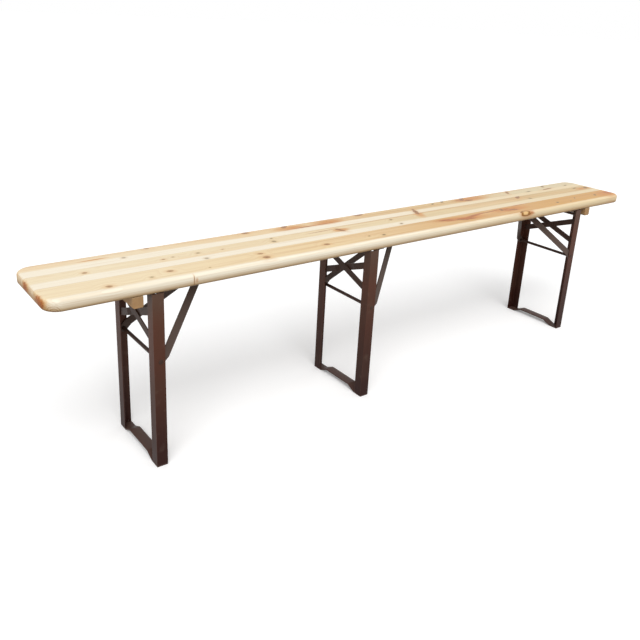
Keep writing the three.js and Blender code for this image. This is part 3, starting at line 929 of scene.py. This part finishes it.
def weld(name, runs, body, seed, material):
    """One mesh for all the beads on a body. Each run is a list of the points that its bead passes."""
    points = []
    edges = []
    for run in runs:
        edges += [(len(points) + i, len(points) + j) for i, j in chain(run)]
        points += run
    sizes = {"Bead radius": bead_radius, "Spacing": bead_spacing, "Seed": seed}
    dress(weld_bead.grow(name, points, edges, sizes), material, body)


def leg_beads(frame_name, inward):
    """Round the inside of each leg's angle, where it stands on the foot bar."""
    foot_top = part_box(frame_name + "_leg_front")[0][2] + bead_rise
    runs = []
    for part, side in (("leg_front", -1), ("leg_back", 1)):
        low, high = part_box(f"{frame_name}_{part}")
        outboard, inboard = (low[0], high[0]) if inward > 0 else (high[0], low[0])
        outer, inner = (low[1], high[1]) if side < 0 else (high[1], low[1])
        root_x = outboard + inward * (angle_thickness + root_gap)
        root_y = outer - side * (angle_thickness + root_gap)
        runs.append([
            (root_x, inner + side * bead_stop, foot_top), (root_x, root_y, foot_top),
            (inboard - inward * bead_stop, root_y, foot_top),
        ])
    return runs


def brace_beads(frame_name, inward):
    """Down both ends of each brace, one end high on one leg and the other low on the other."""
    runs = []
    for part in ("brace_flat", "brace_cranked"):
        low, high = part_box(f"{frame_name}_{part}")
        rising = 1 if (part == "brace_flat") == (inward > 0) else -1
        back_x = low[0] + brace_bead_depth if inward > 0 else high[0] - brace_bead_depth
        for side in (-1, 1):
            y = high[1] * side
            top = high[2] if rising == side else low[2] + brace_end_height
            bottom = high[2] - brace_end_height if rising == side else low[2]
            runs.append([(back_x, y, bottom + bead_stop), (back_x, y, top - bead_stop)])
    return runs


def fork_beads(frame_name, inward):
    """Across the tip of each arm, along the edge where it meets the fork's plate."""
    rod_low, rod_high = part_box(frame_name + "_strut_rod")
    rod = Vector(((rod_low[0] + rod_high[0]) / 2, 0, (rod_low[2] + rod_high[2]) / 2))

    def corners_from_rod(part):
        return [vertex.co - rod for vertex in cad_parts[f"{frame_name}_{part}"].data.vertices]

    fork = corners_from_rod("strut_fork")
    fork_middle = sum(fork, Vector()) / len(fork)
    along = Vector((fork_middle.x, 0, fork_middle.z)).normalized()
    upward = along.cross(Vector((0, 1, 0))) * inward
    plate_back = min(corner.dot(along) for corner in fork)
    runs = []
    for part, side in (("strut_arm_front", -1), ("strut_arm_back", 1)):
        arm = corners_from_rod(part)
        tip = [corner for corner in arm if corner.dot(along) > plate_back - tip_tolerance]
        outer = max(corner.y * side for corner in tip) * side
        bottom, top = (pick(corner.dot(upward) for corner in tip) for pick in (min, max))
        bead = rod + along * (plate_back - bead_rise)
        beside = Vector((0, outer + side * bead_rise, 0))
        ends = (bottom + bead_stop, top - bead_stop)
        runs.append([bead + upward * height + beside for height in ends])
    return runs


for seed, (frame_name, inward) in enumerate(frame_sides.items()):
    runs = leg_beads(frame_name, inward) + brace_beads(frame_name, inward)
    weld(f"welds_{frame_name}_leg_frame", runs, frame_name + "_leg_frame", seed, leg_enamel)
    runs = fork_beads(frame_name, inward)
    weld(f"welds_{frame_name}_strut", runs, frame_name + "_strut", seed + strut_seed_step, lightened_strut_enamel)


# Screws
# Zinc-plated wood screws with crossed slots: two in each bracket's base, one in each pad of a guide,
# one in the foot of each catch, and three up through each batten.
zinc, graph, shader, place = new_finish("zinc plating", {"Metallic": 0.9})
sheen = graph.noise(place, 700, 3)
tarnish = graph.noise(place, 120, 2).rise(0.5, 0.7)
tone = graph.mix(sheen, colour("77746d"), colour("918d83")).stained(tarnish * 0.5, "665c4a")
tone.feed(shader, "Base Color")
(0.3 + sheen * 0.2 + tarnish * 0.2).feed(shader, "Roughness")

# The head has a radius of 1 and hangs below the face that it is driven into
rim_shares = ((1.0, 0.0), (0.98, 0.16), (0.78, 0.4))
face_drop_share = 0.47
slot_floor_drop_share = 0.12
slot_taper_share = 0.6
slot_width_share = 0.11
slot_reach_share = 0.46
quarter_slot = (
    (slot_reach_share, -slot_width_share), (slot_reach_share, slot_width_share),
    (slot_width_share, slot_width_share),
)
cross = []
for quarter in range(4):
    cross += [((a, b), (-b, a), (-a, -b), (b, -a))[quarter] for a, b in quarter_slot]
shape = bmesh.new()
rings = []
for reach, drop in rim_shares:
    directions = [math.atan2(b, a) for a, b in cross]
    round_line = [(reach * math.cos(angle), reach * math.sin(angle), -drop) for angle in directions]
    rings.append([shape.verts.new(corner) for corner in round_line])
for taper, drop in ((1, face_drop_share), (slot_taper_share, slot_floor_drop_share)):
    rings.append([shape.verts.new((a * taper, b * taper, -drop)) for a, b in cross])
join_rings(shape, rings)
shape.faces.new(rings[-1])
shape.faces.new(rings[0])
bmesh.ops.recalc_face_normals(shape, faces=shape.faces)
screw_head = new_object("screw head", keep_mesh("screw head", shape))

screws = Tree("screws", {
    "Head": "NodeSocketObject", "Head radius": length_input, "Seed": "NodeSocketInt",
})
head = screws.node("GeometryNodeObjectInfo", None, {"Object": screws.inputs["Head"]}, "Geometry")
full_turn = {0: (0, 0, 0), 1: (0, 0, 2 * math.pi), "Seed": screws.inputs["Seed"]}
spin = screws.node("FunctionNodeRandomValue", {"data_type": "FLOAT_VECTOR"}, full_turn, "Value")
driven = {
    "Points": screws.inputs["Geometry"], "Instance": head, "Rotation": spin,
    "Scale": screws.inputs["Head radius"],
}
screws.close(screws.node("GeometryNodeInstanceOnPoints", None, driven), zinc)


def drive_screws(name, places, head_radius, seed, body):
    """One mesh for the screws of a body, each turned by chance about its own axis."""
    sizes = {"Head": screw_head, "Head radius": head_radius, "Seed": seed}
    dress(screws.grow(name, places, [], sizes), zinc, body)


bench_screw_radius = 0.0042
bracket_thickness = 0.003
bracket_screw_places = (0.009, 0.032)
bracket_screw_inset = 0.008
batten_screw_places = (-0.085, 0.004, 0.083)
bench_screw_seed = 5
catch_screw_radius = 0.0034
catch_thickness = 0.0012
catch_screw_inset = 0.010
bench_screws = []
for frame_name, inward in frame_sides.items():
    for part, side in (("hinge_bracket_front", -1), ("hinge_bracket_back", 1)):
        low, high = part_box(f"{frame_name}_{part}")
        start = low[0] if inward > 0 else high[0]
        inner = high[1] if side < 0 else low[1]
        y = inner + side * bracket_screw_inset
        for along in bracket_screw_places:
            bench_screws.append((start + inward * along, y, underside - bracket_thickness))
    low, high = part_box(frame_name + "_guide_bar")
    for x in (low[0] + pad_reach / 2, high[0] - pad_reach / 2):
        bench_screws.append((x, 0, underside - pad_thickness))
for node in ("batten_left", "batten_right"):
    low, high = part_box(node)
    bench_screws += [((low[0] + high[0]) / 2, y, low[2]) for y in batten_screw_places]
drive_screws("screws_bench", bench_screws, bench_screw_radius, bench_screw_seed, "bench")
for seed, (frame_name, inward) in enumerate(frame_sides.items()):
    low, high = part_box(frame_name + "_catch_spring")
    foot_end = high[0] if inward > 0 else low[0]
    x = foot_end - inward * catch_screw_inset
    point = (x, (low[1] + high[1]) / 2, underside - catch_thickness)
    body = frame_name + "_catch"
    drive_screws(f"screw_{frame_name}_catch", [point], catch_screw_radius, seed, body)
bpy.data.objects.remove(screw_head)
